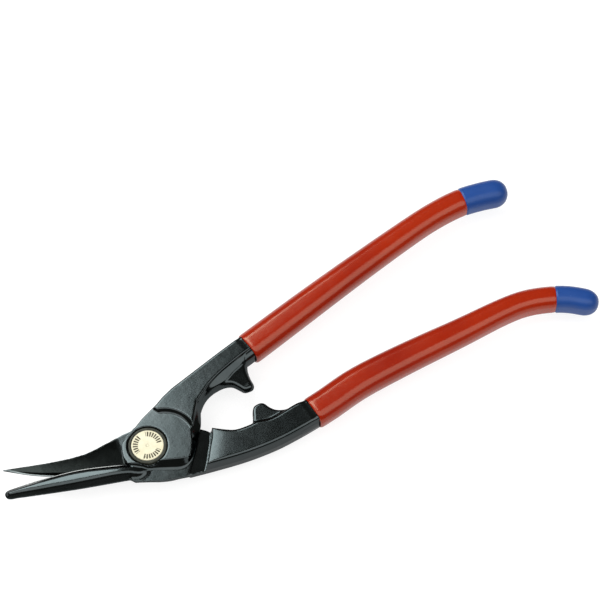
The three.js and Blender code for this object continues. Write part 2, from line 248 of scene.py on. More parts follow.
def slope_of(field, points, reach):
    """The field's unit slope, from four samples about each point."""
    x, y, z = points.T.astype(np.float64)
    base = [field(x + reach * s, y + reach * t, z + reach * u)
            for s, t, u in ((1, -1, -1), (-1, -1, 1), (-1, 1, -1), (1, 1, 1))]
    n = np.array([base[0] - base[1] - base[2] + base[3],
                  -base[0] - base[1] + base[2] + base[3],
                  -base[0] + base[1] - base[2] + base[3]]).T
    return n / np.maximum(np.linalg.norm(n, axis=1, keepdims=True), 1e-12)


def best_points(points, normals, quads, ids, cells_shape, axes, cell):
    """One vertex in each cell, where the planes through its crossings meet."""
    pull = 0.05                           # towards the crossings' middle, where the planes are alike
    count = len(ids)
    flat = quads.ravel()
    spread = np.repeat(np.arange(len(points)), 4)
    total = np.bincount(flat, minlength=count).astype(float)

    def gather(values):
        return np.bincount(flat, weights=values[spread], minlength=count)

    middle = np.array([gather(points[:, a]) for a in range(3)]).T / total[:, None]
    matrix = np.zeros((count, 3, 3))
    right = np.zeros((count, 3))
    offset = np.einsum("ij,ij->i", normals, points)
    for a in range(3):
        right[:, a] = gather(normals[:, a] * offset)
        for b in range(3):
            matrix[:, a, b] = gather(normals[:, a] * normals[:, b])
    right -= np.einsum("nij,nj->ni", matrix, middle)
    matrix += np.eye(3) * pull
    moved = middle + np.linalg.solve(matrix, right[:, :, None])[:, :, 0]
    place = np.array(np.unravel_index(ids, cells_shape)).T
    start = np.array([a[0] for a in axes]) + place * cell
    return np.clip(moved, start, start + cell)


def build(name, vertices, faces, material, body, nodes, sharp):
    """A mesh from millimetres about the shear plane, placed in the frame.
    Edges that turn by more than sharp degrees stay hard."""
    mesh = bpy.data.meshes.new(name)
    placed = (np.asarray(vertices, float) + (0, 0, SHEAR)) * MM
    sizes = np.array([len(f) for f in faces])
    corners = np.concatenate([np.asarray(f) for f in faces])
    mesh.vertices.add(len(placed))
    mesh.vertices.foreach_set("co", placed.astype(np.float32).ravel())
    mesh.loops.add(len(corners))
    mesh.loops.foreach_set("vertex_index", corners.astype(np.int32))
    mesh.polygons.add(len(sizes))
    mesh.polygons.foreach_set("loop_start", (np.cumsum(sizes) - sizes).astype(np.int32))
    mesh.update(calc_edges=True)
    mesh.validate()
    mesh.shade_smooth()
    mesh.set_sharp_from_angle(angle=math.radians(sharp))
    mesh.materials.append(material)
    piece = bpy.data.objects.new(name, mesh)
    bpy.context.scene.collection.objects.link(piece)
    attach(piece, body)
    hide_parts(*nodes)
    return piece


def paint(piece, name, values):
    """A number at each vertex, for the material to read."""
    layer = piece.data.attributes.new(name, "FLOAT", "POINT")
    layer.data.foreach_set("value", np.asarray(values, np.float32))


def made(name, field, low, high, cell, material, body, nodes):
    """A piece from a distance field, and its vertices."""
    vertices, quads = contour(field, low, high, cell)
    return build(name, vertices, quads, material, body, nodes, sharp=46), vertices


# ---------------------------------------------------------------- blades

def share_across(to_edge, to_back):
    """0 at a blade's edge and 1 at its back."""
    return to_edge / (to_edge + to_back + 1e-6)


def blade(x, y, z, outline, edge, back, top, land, back_height):
    """The top of a blade: a narrow land, a steep rise, a crowned face, and a steep wall down to the back."""
    land_width, land_slope, rise_slope, wall_slope, crown = 0.5, 0.25, 1.35, 1.4, 0.10
    to_edge, to_back = to_line(edge, x, y), to_line(back, x, y)
    past_land = np.maximum(to_edge - land_width, 0)
    rise = land + land_slope * np.minimum(to_edge, land_width) + rise_slope * past_land
    face = top * (1 - crown * (share_across(to_edge, to_back) / 0.5 - 1) ** 2)
    wall = back_height + wall_slope * to_back
    body = common((z - rise) * 0.6, common(z - face, (z - wall) / (1 + wall_slope), 0.75), 0.35)
    return common(to_shape(outline, x, y), body, 0.3)


# ---------------------------------------------------------------- front lever

# The blade's edge and back, and its crown's height along the tool
F_EDGE = spline([(-1, -6.9), (-14, -2), (-31, 3.4), (-47, 6.1), (-60, 7.4), (-63.6, 7.4), (-64.9, 6.4),
                 (-65, 4.9)])
F_BACK = spline([(-2, -6.6), (-3.4, -9.2), (-5, -11.2), (-8, -12.1), (-11.4, -11.3), (-14.3, -10.2),
                 (-34, -5.2), (-54, 0.5), (-60.4, 2.4), (-62.9, 3), (-64.4, 3.7)])
F_BLADE = np.vstack([F_EDGE, F_BACK[::-1]])
F_CROWN = spline([(-65, 2.8), (-40, 3.7), (-24, 4.2), (-18, 4.25), (-14, 4.1), (-10, 3.65), (-7, 3),
                  (-4, 2.2)]).T
# The boss plate, the low toe below it, and the flat part of the boss's face
F_BOSS = shape(((-11.4, -4.6), (-11.9, -1.6), (-11.6, 0.9), (-10.9, 3.6), (-9.4, 6.2), (-4.8, 8.6),
                (2.9, 13)),
               [(20.2, 20.6), (30, 23), (32, 12)],
               ((28.6, 7.5), (25.4, -0.1), (21.8, -4.8), (18.4, -9.4), (15.6, -12.4), (13, -14.1),
                (10.6, -14.6), (8.3, -14.2), (3.9, -12.4), (-0.9, -10.3), (-5, -8.9), (-10.6, -7.2)))
F_TOE = shape([(-12.2, -8.6)],
              ((-12.1, -11), (-11.3, -12.5), (-9.4, -13.3), (0, -17.2), (5.2, -18.4), (9.8, -19.5),
               (12.4, -17.8), (15.4, -14), (18.8, -9.8), (21.8, -5.4)),
              [(21, -2), (-8, 0)])
F_FACE = shape([(-18, 22), (-20, -1)],
               ((-12.2, -3.6), (-4.5, -7), (2, -8.6), (8.3, -10.7), (14.3, -12.9)),
               ((16.3, -11), (18.6, -6.4), (20.5, -1), (24, 4.4), (28, 9.4)),
               [(34, 14), (34, 30)])
# The handle bar: its raised top, the sloping strip beside that, and its whole outline with the stop nub
F_TOP = shape([(4, 12), (20.2, 21), (45, 28), (64, 33.2)],
              ((64, 24.6), (58.5, 23), (53.4, 21.6), (47.6, 19.8), (42.2, 17.9), (36.3, 15.2), (31.7, 12.2),
               (27.9, 9.6)),
              [(24.8, 5), (21.6, 0), (8, 0)])
F_STRIP = shape([(4, 12), (20.2, 21), (45, 28), (64, 33.2)],
                ((64, 21.9), (57.5, 20.8), (53, 18.7), (48.9, 17.2), (45.6, 15.5), (41.8, 14.2),
                 (38.1, 13.6), (33.5, 12.6), (29.6, 9.9)),
                [(26, 6), (8, 0)])
F_BAR = shape([(8.5, 15.7), (20.2, 20.5), (45, 27.5), (57.8, 30.9), (63, 32.2), (64.6, 21.8)],
              ((60.4, 20.7), (57.2, 19.6), (55.4, 16), (54.9, 12), (55, 8.4), (53.8, 6.5), (51.6, 6.2),
               (49.4, 6.8), (47.6, 9.2), (45.4, 11.6), (41.6, 12.6), (37, 12.1), (32.2, 10), (28, 5.8),
               (25.4, -0.1)),
              [(18, 0)])
# The grip's middle line, and its half widths at even steps along it
F_LINE = spline([(48, 22.6), (64, 26.7), (94, 34.7), (122, 41.9), (150, 48.6), (166, 51.8), (180, 53.1),
                 (190.5, 52.2), (200.5, 50.2)], 24)
F_WIDTHS = (7.3, 7.1, 6.5, 5.9, 6.2)
# Room below the shear plane for the rear boss at every angle
F_ROOM = shape([(-80, -40), (30, -30), (40, 2), (30, 6.4)], ((22.4, 5.4), (21, 10.4), (17.5, 15)),
               [(15, 22), (-80, 40)])
# Centre and radius of the arc that the boss's face is sunk in
ARC_X, ARC_Y, ARC_RADIUS = 7.2, -1.2, 13.7


def ribbon(line, half, start, end):
    """The outline of a band along part of a line."""
    step = np.hypot(*np.diff(line, axis=0).T)
    reach = np.concatenate([[0], np.cumsum(step)])
    keep = line[(reach >= start) & (reach <= end)][::6]
    ahead = np.gradient(keep, axis=0)
    side = np.stack([-ahead[:, 1], ahead[:, 0]], 1) / np.hypot(*ahead.T)[:, None] * half
    return np.vstack([keep + side, (keep - side)[::-1]])


def length_of(line):
    return np.hypot(*np.diff(line, axis=0).T).sum()


# The sleeve's mouth, the tang's start inside it, and the outline that the bar narrows to
F_MOUTH = 0.077 * length_of(F_LINE)
F_TANG = ribbon(F_LINE, TANG_WIDTH, 6, 26)
F_FIT = ribbon(F_LINE, FIT_WIDTH, 0, 26)


def tang_root(outline, x, y, z):
    """The start of the tang, which runs on inside the grip."""
    return slab(to_shape(outline, x, y), z, -TANG_HALF, TANG_HALF, TANG_EDGE)


def mouth_fit(body, line, fit, mouth, x, y, z):
    """The bar narrows to fit just inside the sleeve's outline, and ends at its mouth."""
    neck_length, overlap = 3.5, 0.2
    inside = slab(to_shape(fit, x, y), z, -HANDLE, HANDLE, FIT_EDGE)
    fitted = union(inside, to_end(line, mouth - neck_length, x, y), 3.0)
    return np.maximum(common(body, fitted, 0.6), to_end(line, mouth + overlap, x, y))


def front_forging(x, y, z):
    a = np.abs(z)
    # The handle bar: a raised top, a shoulder that slopes from it, and a thin web with the stop nub
    shoulder_high, shoulder_low, shoulder_draft, bar_draft, web_draft = 5.0, 3.5, 0.25, 0.1, 0.45
    top, strip, bar = (to_shape(s, x, y) for s in (F_TOP, F_STRIP, F_BAR))
    outside = bar + bar_draft * a - 0.3
    raised = slab(np.maximum(top, outside), z, -HANDLE, HANDLE, 0.7)
    shoulder = common(np.maximum(strip + shoulder_draft * (a - 3.4), outside),
                      (a - ramp(top, strip, shoulder_high, shoulder_low)) * 0.85, 0.3)
    thinning, thinning_reach = 0.08, 8
    skin = WEB - thinning * np.clip(strip, 0, thinning_reach)
    web = common(bar + web_draft * a, (a - skin) * 0.98, 1.1)
    handle = union(union(raised, shoulder, 0.25), web, 0.8)
    handle = mouth_fit(handle, F_LINE, F_FIT, F_MOUTH, x, y, z)
    handle = union(handle, tang_root(F_TANG, x, y, z), 0.4)
    # The boss face lies lower than the handle's top, inside an arc with a steep wall
    wall_slope = 1.1
    reach = np.hypot(x - ARC_X, y - ARC_Y) - ARC_RADIUS
    handle = cut(handle, common(reach - (z - FACE) * wall_slope, FACE - 0.5 - z), 0.25)
    # The boss plate falls away past its face, towards the toe and the blade
    face = to_shape(F_FACE, x, y)
    boss = to_shape(F_BOSS, x, y)
    plate = slab(boss + 0.04 * z, z, HALF_GAP, FACE, 0.4)
    plate = common(plate, (z - ramp(face, boss, FACE + 0.1, TOE - 0.2)) * 0.75, 0.3)
    body = union(handle, plate, 0.5)
    toe = slab(to_shape(F_TOE, x, y), z, HALF_GAP, TOE - 0.02 * x, 0.35)
    top = np.interp(x, *F_CROWN)
    edged = blade(x, y, z, F_BLADE, F_EDGE, F_BACK, top, land=0.9, back_height=0.3)
    body = union(union(body, toe, 1.0), edged, 1.1)
    body = common(body, union(HALF_GAP - z, -to_shape(F_ROOM, x, y)))
    # A square hole for the bolt's neck and a counterbore with a broken rim for its head
    rim_slope, rim_depth = 0.35, 0.5
    neck = np.maximum(np.abs(x), np.abs(y)) - NECK_HOLE
    well = np.hypot(x, y) - WELL - rim_slope * np.clip(z - FACE + rim_depth, 0, 1)
    body = cut(body, np.minimum(np.maximum(neck, z - 3), np.maximum(well, HEAD_SEAT - z)), 0.15)
    tang_length = 24
    return np.maximum(body, to_end(F_LINE, tang_length, x, y))


def to_end(line, length, x, y):
    """Distance past a square cut across a line at a length along it."""
    reach = np.concatenate([[0], np.cumsum(np.hypot(*np.diff(line, axis=0).T))])
    at = [np.interp(length, reach, line[:, i]) for i in (0, 1)]
    later = [np.interp(length + 1, reach, line[:, i]) for i in (0, 1)]
    return (x - at[0]) * (later[0] - at[0]) + (y - at[1]) * (later[1] - at[1])


# ---------------------------------------------------------------- rear lever

# The blade's edge and back
R_EDGE = spline([(0, -10.4), (-4, -9), (-14, -5.4), (-30, 0.4), (-40, 4.4), (-51, 10.2), (-61.6, 17.4)])
R_BACK = spline([(0, 13.6), (-4, 13.6), (-7.5, 13.5), (-11.4, 13.1), (-18.2, 12), (-25, 11.1), (-32, 11.4),
                 (-38.2, 12.3), (-44.4, 13.5), (-50.5, 15), (-56.6, 16.6), (-61.8, 17.9)])
R_BLADE = np.vstack([R_EDGE, R_BACK[::-1]])
# The boss, the handle bar and the thinner stop nub on it
R_BOSS = shape(((-2, 12), (-6.8, 9.4), (-10.1, 5.2), (-11.1, 0), (-10.8, -5), (-9.9, -10), (-3, -14),
                (3, -16.3), (8, -17.3), (13, -18.5)),
               [(31, -21), (34, -7)],
               ((29, -4.4), (25.6, -1), (20.4, 2.4), (15.4, 7.4), (9.4, 11.4), (2, 12.8)))
R_BAR = shape(((12, -18.5), (24, -20.5), (38, -22.3), (52, -22.8), (64, -21.9), (76, -20.4)),
              [(75, -9.2)],
              ((71.2, -9.5), (66.5, -9.6), (60, -10.6), (54, -11.2), (48, -10), (44, -10.1), (38.2, -9.6),
               (34, -7.6), (29, -4.4)),
              [(24, -6)])
R_NUB = shape([(40, -15), (44.5, -10.4)],
              ((46.6, -8.8), (47.8, -6.6), (48.8, -4), (50, -2.2), (51.6, -1.6), (53.6, -1.6), (55.2, -2.6),
               (56.6, -5.2), (58.6, -7.4), (61.6, -8.8), (65, -9.5)),
              [(67, -15)])
# The grip's middle line, and its half widths at even steps along it
R_LINE = spline([(56, -16), (66, -16.1), (80, -14), (98, -10.4), (122, -8.5), (150, -7.3), (172, -6.1),
                 (184, -6.6), (194.5, -9.3), (203, -13.1), (211.3, -19)], 24)
R_WIDTHS = (7.2, 7.3, 6.7, 5.6, 5.3)
# Room above the shear plane for the front boss and toe at every angle
R_ROOM = shape([(-80, -60), (10.6, -40)], ((17.4, -21), (20.4, -17.4), (24, -11.6), (26.6, -7.6), (28.4, -3)),
               [(30, 30), (-80, 30)])
# The same three for this grip as for the front one
R_MOUTH = 0.106 * length_of(R_LINE)
R_TANG = ribbon(R_LINE, TANG_WIDTH, 8, 34)
R_FIT = ribbon(R_LINE, FIT_WIDTH, 0, 34)


def rear_forging(x, y, z):
    a = np.abs(z)
    bar_draft, nub_draft = 0.06, 0.12
    bar = slab(to_shape(R_BAR, x, y) + bar_draft * a - 0.25, z, -HANDLE, HANDLE, 1.5)
    nub = slab(to_shape(R_NUB, x, y) + nub_draft * a - 0.2, z, -WEB, WEB, 0.9)
    body = union(bar, nub, 1.6)
    body = mouth_fit(body, R_LINE, R_FIT, R_MOUTH, x, y, z)
    body = union(body, tang_root(R_TANG, x, y, z), 0.4)
    body = union(body, slab(to_shape(R_BOSS, x, y), z, -REAR_BOSS, 1, 0.8), 0.8)
    # In the front boss's room it is cut down past the shear plane; next to that, the bar's top dips a little
    dip, dip_reach, wall_draft = 0.3, 12, 0.15
    fall, fall_start, fall_reach = 0.1, 15.5, 14
    room = to_shape(R_ROOM, x, y)
    lift = HANDLE - dip * np.clip(1 - room / dip_reach, 0, 1) ** 3
    floor_height = -HALF_GAP - fall * np.clip(np.hypot(x, y) - fall_start, 0, fall_reach)
    keep = union(z - floor_height, common(wall_draft * (z + 2) - room, z - lift, 0.7), 0.15)
    body = common(body, keep)
    top = np.interp(x, (-62, -14), (1.6, 5.0))
    flipped = blade(x, y, -z, R_BLADE, R_EDGE, R_BACK, top, land=1.0, back_height=1.2)
    # The shear face is ground hollow, and the hollow runs out before the boss
    to_edge, to_back = to_line(R_EDGE, x, y), to_line(R_BACK, x, y)
    across = share_across(to_edge, to_back)
    hollow = 0.04 * (to_edge + to_back) * across * (1 - across) * (1 + across)
    fade = np.interp(x, (-60, -30), (1.2, 3.2))
    depth = np.interp(x, (-61, -46, -10), (0, 0.55, 2.5)) * ease(to_edge / fade)
    run_out = ease(1 + to_shape(F_BOSS, x, y) / 2)
    body = union(body, common(flipped, z + HALF_GAP + (hollow + depth) * run_out, 0.25), 0.3)
    seat = np.maximum(np.hypot(x, y) - SEAT, z + REAR_BOSS)
    bore = np.hypot(x, y) - BORE
    body = cut(body, np.minimum(seat, bore), 0.15)
    tang_length = 32
    return np.maximum(body, to_end(R_LINE, tang_length, x, y))


# ---------------------------------------------------------------- grips

def along(line, widths, lengths):
    """Centres, directions and half widths of the grips at the given lengths along a line."""
    total = length_of(line)
    line = np.vstack([line, line[-1] + (line[-1] - line[-2]) * 200])
    reach = np.concatenate([[0], np.cumsum(np.hypot(*np.diff(line, axis=0).T))])
    centre = np.stack([np.interp(lengths, reach, line[:, i]) for i in (0, 1)], 1)
    ahead = np.stack([np.interp(lengths + 1, reach, line[:, i])
                      - np.interp(lengths - 1, reach, line[:, i]) for i in (0, 1)], 1)
    ahead /= np.linalg.norm(ahead, axis=1, keepdims=True)
    even = spline([(i, w) for i, w in enumerate(widths)], 12)
    half = np.interp(lengths / total * (len(widths) - 1), even[:, 0], even[:, 1])
    return centre, ahead, half


def softly(v):
    """1 away from nought, and falling evenly to 0 close to it."""
    close = 0.12
    return np.minimum(np.abs(v) / close, 1)


def sweep(line, widths, stations, closed):
    """Rings along a line. A station is a length, an inset from the grip's outside and a scale.
    The section is a box whose corner radius is a large share of its half thickness."""
    roundness = 0.86
    lengths, insets, scales = np.array(stations, float).T
    centre, ahead, half = along(line, widths, lengths)
    turn = np.arange(AROUND) / AROUND * 2 * math.pi
    rings = []
    for c, t, w, inset, scale in zip(centre, ahead, half, insets, scales):
        wide, high = (w - inset) * scale, (GRIP_HALF - inset) * scale
        radius = min(wide, high) * roundness
        side = np.sign(np.cos(turn)) * (wide - radius) * softly(np.cos(turn)) + radius * np.cos(turn)
        lift = np.sign(np.sin(turn)) * (high - radius) * softly(np.sin(turn)) + radius * np.sin(turn)
        rings.append(np.stack([c[0] - t[1] * side, c[1] + t[0] * side, lift], 1))
    count = len(rings)
    vertices = np.vstack(rings)
    faces = []
    for i in range(count if closed else count - 1):
        one, two = i * AROUND, (i + 1) % count * AROUND
        for j in range(AROUND):
            k = (j + 1) % AROUND
            faces.append((one + j, one + k, two + k, two + j))
    if not closed:
        for ring, order in ((0, -1), (count - 1, 1)):
            vertices = np.vstack([vertices, vertices[ring * AROUND:(ring + 1) * AROUND].mean(0)])
            for j in range(AROUND):
                k = (j + 1) % AROUND
                a, b = (ring * AROUND + j, ring * AROUND + k)[::order]
                faces.append((a, b, len(vertices) - 1))
    return vertices, faces


def steps(start, end, gap=1.5):
    """Lengths from start to end, about a gap apart."""
    count = max(int(abs(end - start) / gap), 1)
    return np.linspace(start, end, count + 1)


def lip(length, outer, inner, direction):
    """A rounded rim at a length: stations from the inner wall over to the outer one, or back for -1."""
    turns = np.linspace(0, math.pi, 9)[1:-1]
    middle, radius = (outer + inner) / 2, (inner - outer) / 2
    return [(length + direction * 2 * radius * (1 - math.sin(t)),
             middle + direction * radius * math.cos(t), 1) for t in turns]


def dome(start, length, inset, count=9):
    """Stations that close a tube with a round end."""
    least, blunt = 0.03, 0.85
    turns = np.linspace(0, math.pi / 2, count + 1)[1:]
    return [(start + length * math.sin(t), inset, max(math.cos(t), least) ** blunt) for t in turns]


def sleeve(line, widths, start, end):
    """A red sleeve: a tube with two rims, open at both ends."""
    rim = 2
    stations = [(s, GRIP_WALL, 1) for s in steps(end - rim, start + rim, 4)]
    stations += lip(start, 0.0, GRIP_WALL, 1)
    stations += [(s, 0.0, 1) for s in steps(start + rim, end - rim)]
    stations += lip(end, 0.0, GRIP_WALL, -1)
    return sweep(line, widths, stations, closed=True)


def grip_end(line, widths, start, end):
    """A blue end: a tube with one rim, closed by a round cap."""
    rim, inner, outer = 1, GRIP_WALL + 0.15, -CAP_SWELL
    stations = dome(end - CAP - rim, CAP - 1.6, inner, 6)[::-1]
    stations += [(s, inner, 1) for s in steps(end - CAP - rim, start + rim, 4)]
    stations += lip(start, outer, inner, 1)
    stations += [(s, outer, 1) for s in steps(start + rim, end - CAP)]
    stations += dome(end - CAP, CAP, outer)
    return sweep(line, widths, stations, closed=False)


def tang(line, widths, start, end):
    """The steel inside a grip, with a round end."""
    point, inset = 4, GRIP_WALL + 0.05
    stations = [(s, inset, 1) for s in steps(start, end - point, 3)]
    stations += dome(end - point, point, inset, 6)
    return sweep(line, widths, stations, closed=False)


# ---------------------------------------------------------------- fasteners

def thread(x, y, z):
    """A thread's depth at each point, from 0 to 1."""
    pitch = 1.25
    turn = np.mod(z / pitch - np.arctan2(y, x) / (2 * math.pi), 1)
    return np.abs(turn * 2 - 1)


def bolt(x, y, z):
    """A round head with a recess for the disc, a square neck, and a threaded shank with a bevelled end."""
    thread_depth, thread_start = 0.62, 6.5
    r = np.hypot(x, y)
    head = slab(r - HEAD, z, HEAD_SEAT + 0.1, HEAD_TOP, 0.35)
    head = cut(head, np.maximum(r - DISC - 0.12, DISC_FLOOR - z), 0.1)
    neck = slab(np.maximum(np.abs(x), np.abs(y)) - NECK, z, 0.2, 2.6, 0.3)
    groove = thread_depth * thread(x, y, z) * np.clip(-z - thread_start, 0, 1)
    bevel = (r - z + BOLT_END - 3.9) * 0.7
    shank = np.maximum(np.maximum(r - SHANK + groove * 0.75, z - 1), np.maximum(BOLT_END - z, bevel))
    return union(union(head, neck), shank, 0.1)


def flat_washer(x, y, z):
    middle, half = 7.4, 2.1
    return slab(np.abs(np.hypot(x, y) - middle) - half, z, *WASHER, 0.22)


def split_washer(x, y, z):
    """A ring that climbs a little in its turn, with a slanting gap."""
    middle, half, climb, ease_off, slant, gap_half = 6.85, 1.55, 0.3, 0.17, 0.35, 0.5
    twist = (np.mod(np.arctan2(y, x), 2 * math.pi) / (2 * math.pi) - 0.5) * climb
    ring = slab(np.abs(np.hypot(x, y) - middle) - half, z - twist, SPRING[0] + ease_off,
                SPRING[1] - ease_off, 0.2)
    gap = np.maximum(np.abs(y - slant * (z + 7)) - gap_half, -x)
    return cut(ring, gap, 0.1)


def nut(x, y, z):
    """A hexagon with bevelled corners, and a threaded bore with a countersink at each end."""
    half_flats, bevel_radius, bevel_slope = 8, 7.9, 1.9
    bore_radius, thread_depth, countersink = 4.7, 0.45, 0.6
    r = np.hypot(x, y)
    turns = np.arange(3) * math.pi / 3
    flats = np.max([np.abs(x * math.cos(t) + y * math.sin(t)) for t in turns], axis=0) - half_flats
    past_face = np.abs(z - (NUT[0] + NUT[1]) / 2) - (NUT[1] - NUT[0]) / 2
    cone = (r - bevel_radius + past_face * bevel_slope) * 0.47
    bore = r - bore_radius - thread_depth * thread(x, y, z) - np.clip(past_face + countersink, 0, 1)
    return cut(common(np.maximum(flats, past_face), cone, 0.1), bore)


def disc_mesh():
    """The bolt's inlaid disc: a bevelled rim, a centre dimple and a border of short engraved strokes in
    three groups, with the strokes' depth at each vertex."""
    around, radii = 720, np.concatenate([np.linspace(0.02, 7.0, 88), [7.06, 7.11, 7.14, DISC]])
    strokes, groups, group_share = 30, 3, 0.76
    stroke_middle, stroke_half, stroke_width, stroke_depth = 5.3, 1.15, 0.32, 0.16
    dimple, dimple_depth = 0.85, 0.3
    rim, rim_width, rim_drop = 6.9, 0.25, 0.22
    turn = np.arange(around) / around * 2 * math.pi
    r, t = np.meshgrid(radii, turn, indexing="ij")
    top = DISC_TOP - np.clip((r - rim) / rim_width, 0, 1) ** 2 * rim_drop
    top -= dimple_depth * np.clip(1 - (r / dimple) ** 2, 0, 1)
    cycle = np.mod(t / (2 * math.pi) * strokes, 1)
    group = np.mod(t / (2 * math.pi) * groups + 0.12, 1)
    stroke = (np.clip((stroke_width - np.abs(cycle - 0.5)) * 9, 0, 1)
              * np.clip((stroke_half - np.abs(r - stroke_middle)) * 6, 0, 1))
    stroke *= group < group_share
    top -= stroke_depth * stroke
    x, y = r * np.cos(t), r * np.sin(t)
    rings = [np.stack([x[i], y[i], top[i]], 1) for i in range(len(radii))]
    for i in (-1, 0):
        rings.append(np.stack([x[i], y[i], np.full(around, DISC_FLOOR + 0.1)], 1))
    faces = []
    for i in range(len(rings)):
        one, two = i * around, (i + 1) % len(rings) * around
        for j in range(around):
            k = (j + 1) % around
            faces.append((one + j, two + j, two + k, one + k))
    marks = np.concatenate([stroke.ravel(), np.zeros(2 * around)])
    return np.vstack(rings), faces, marks


# ---------------------------------------------------------------- materials

class Surface:
    """Builds a node material step by step, in object coordinates (metres)."""

    def __init__(self, name, **sockets):
        self.material = bpy.data.materials.new(name)
        self.material.use_nodes = True
        self.tree = self.material.node_tree
        self.shader = self.tree.nodes["Principled BSDF"]
        self.place = self.tree.nodes.new("ShaderNodeTexCoord").outputs["Object"]
        self.height = None
        for socket, value in sockets.items():
            self.shader.inputs[socket.replace("_", " ")].default_value = value

    def node(self, kind, **settings):
        made_node = self.tree.nodes.new("ShaderNode" + kind)
        for key, value in settings.items():
            setattr(made_node, key, value)
        return made_node

    def join(self, start, end):
        self.tree.links.new(start, end)

    def feed(self, socket, value):
        """Gives a socket a plain value or another node's output."""
        if hasattr(value, "links"):
            self.join(value, socket)
        else:
            socket.default_value = value

    def noise(self, scale, detail, roughness, stretch=None):
        texture = self.node("TexNoise")
        place = self.place
        if stretch:
            mapping = self.node("Mapping")
            mapping.inputs["Scale"].default_value = stretch
            self.join(place, mapping.inputs["Vector"])
            place = mapping.outputs["Vector"]
        self.join(place, texture.inputs["Vector"])
        for key, value in (("Scale", scale), ("Detail", detail), ("Roughness", roughness)):
            texture.inputs[key].default_value = value
        return texture.outputs["Fac"]

    def spread(self, value, low, high, to_low=0.0, to_high=1.0):
        """Maps the range from low to high onto the one from to_low to to_high."""
        node = self.node("MapRange", clamp=True)
        self.join(value, node.inputs["Value"])
        for key, number in (("From Min", low), ("From Max", high), ("To Min", to_low), ("To Max", to_high)):
            node.inputs[key].default_value = number
        return node.outputs["Result"]

    def attribute(self, name):
        return self.node("Attribute", attribute_name=name).outputs["Fac"]

    def blend(self, share, one, two):
        """Mixes two colours or two numbers; each may be a value or another node's output."""
        colour = isinstance(one, list) or (hasattr(one, "type") and one.type == "RGBA")
        node = self.node("Mix", data_type="RGBA" if colour else "FLOAT")
        slots = [s for s in node.inputs if s.enabled]
        for socket, value in zip(slots, (share, one, two)):
            self.feed(socket, value)
        return [s for s in node.outputs if s.enabled][0]

    def times(self, one, two):
        node = self.node("Math", operation="MULTIPLY")
        for socket, value in zip(node.inputs, (one, two)):
            self.feed(socket, value)
        return node.outputs["Value"]

    def colour(self, output):
        self.join(output, self.shader.inputs["Base Color"])

    def roughness(self, output):
        self.join(output, self.shader.inputs["Roughness"])

    def metallic(self, output):
        self.join(output, self.shader.inputs["Metallic"])

    def bump(self, value, depth, strength):
        """Adds small relief on top of any added before; depth is in metres."""
        node = self.node("Bump")
        node.inputs["Distance"].default_value = depth
        node.inputs["Strength"].default_value = strength
        self.join(value, node.inputs["Height"])
        if self.height is not None:
            self.join(self.height, node.inputs["Normal"])
        self.height = node.outputs["Normal"]
        self.join(self.height, self.shader.inputs["Normal"])


def black_enamel():
    """Blackened forged steel: painted shade darkens the ground shear faces, edges are paler where rubbed, and
    bare steel runs along the cutting edges."""
    black, grey_black = [0.037, 0.044, 0.045, 1], [0.047, 0.054, 0.055, 1]
    # the first colour here is painted shade for the ground shear faces, far darker than the enamel
    painted_shade_black, rubbed = [0.010, 0.0115, 0.011, 1], [0.075, 0.084, 0.084, 1]
    dull_steel, bright_steel = [0.62, 0.64, 0.63, 1], [0.82, 0.84, 0.82, 1]
    s = Surface("black_enamel", Metallic=1.0, Specular_Tint=(0.6, 0.6, 0.6, 1))
    patches = s.spread(s.noise(90, 4, 0.6), 0.35, 0.7)
    base = s.blend(patches, black, grey_black)
    bare = s.attribute("bare")
    # painted shade: the ground shear faces are made darker than the rest of the enamel
    base = s.blend(s.attribute("ground_face_shade"), base, painted_shade_black)
    worn = s.times(s.attribute("edge"), s.spread(s.noise(150, 3, 0.6), 0.45, 0.75))
    base = s.blend(worn, base, rubbed)
    brushed = s.noise(400, 2, 0.5, stretch=(0.25, 3, 3))
    steel = s.blend(brushed, dull_steel, bright_steel)
    s.colour(s.blend(bare, base, steel))
    s.roughness(s.blend(s.noise(160, 4, 0.65), 0.11, 0.21))
    s.bump(s.noise(230, 3, 0.5), 0.00012, 0.2)
    s.bump(s.noise(1300, 3, 0.5), 0.00003, 0.2)
    return s.material


def dipped_vinyl(name, base, deep, pale, gloss, shine, tint):
    """A dipped grip: glossy, with slow runs of colour, pale specks and fine pits."""
    s = Surface(name, IOR=1.5, Specular_IOR_Level=shine, Specular_Tint=tint, Subsurface_Weight=0.04,
                Subsurface_Scale=0.002, Subsurface_Radius=(1.0, 0.4, 0.3))
    slow = s.spread(s.noise(28, 3, 0.5), 0.3, 0.7)
    colour = s.blend(slow, base, deep)
    specks = s.spread(s.noise(520, 4, 0.7), 0.62, 0.75)
    colour = s.blend(s.times(specks, 0.5), colour, pale)
    s.colour(colour)
    s.roughness(s.blend(s.noise(140, 4, 0.6), gloss, gloss + 0.16))
    s.bump(s.noise(60, 3, 0.5), 0.0006, 0.25)
    s.bump(s.noise(900, 3, 0.6), 0.00005, 0.3)
    return s.material


def brass_inlay():
    """Satin brass, stained in places; the engraved strokes hold a dark patina."""
    brass, stained, patina = [0.64, 0.60, 0.45, 1], [0.56, 0.51, 0.35, 1], [0.05, 0.04, 0.02, 1]
    s = Surface("brass_inlay")
    stain = s.spread(s.noise(350, 4, 0.6), 0.3, 0.75)
    base = s.blend(stain, brass, stained)
    s.colour(s.blend(s.attribute("marks"), base, patina))
    s.metallic(s.spread(s.noise(300, 2, 0.5), 0.3, 0.7, 0.15, 0.3))
    s.roughness(s.blend(s.noise(500, 3, 0.6), 0.45, 0.6))
    s.bump(s.noise(1500, 2, 0.5), 0.00003, 0.3)
    return s.material


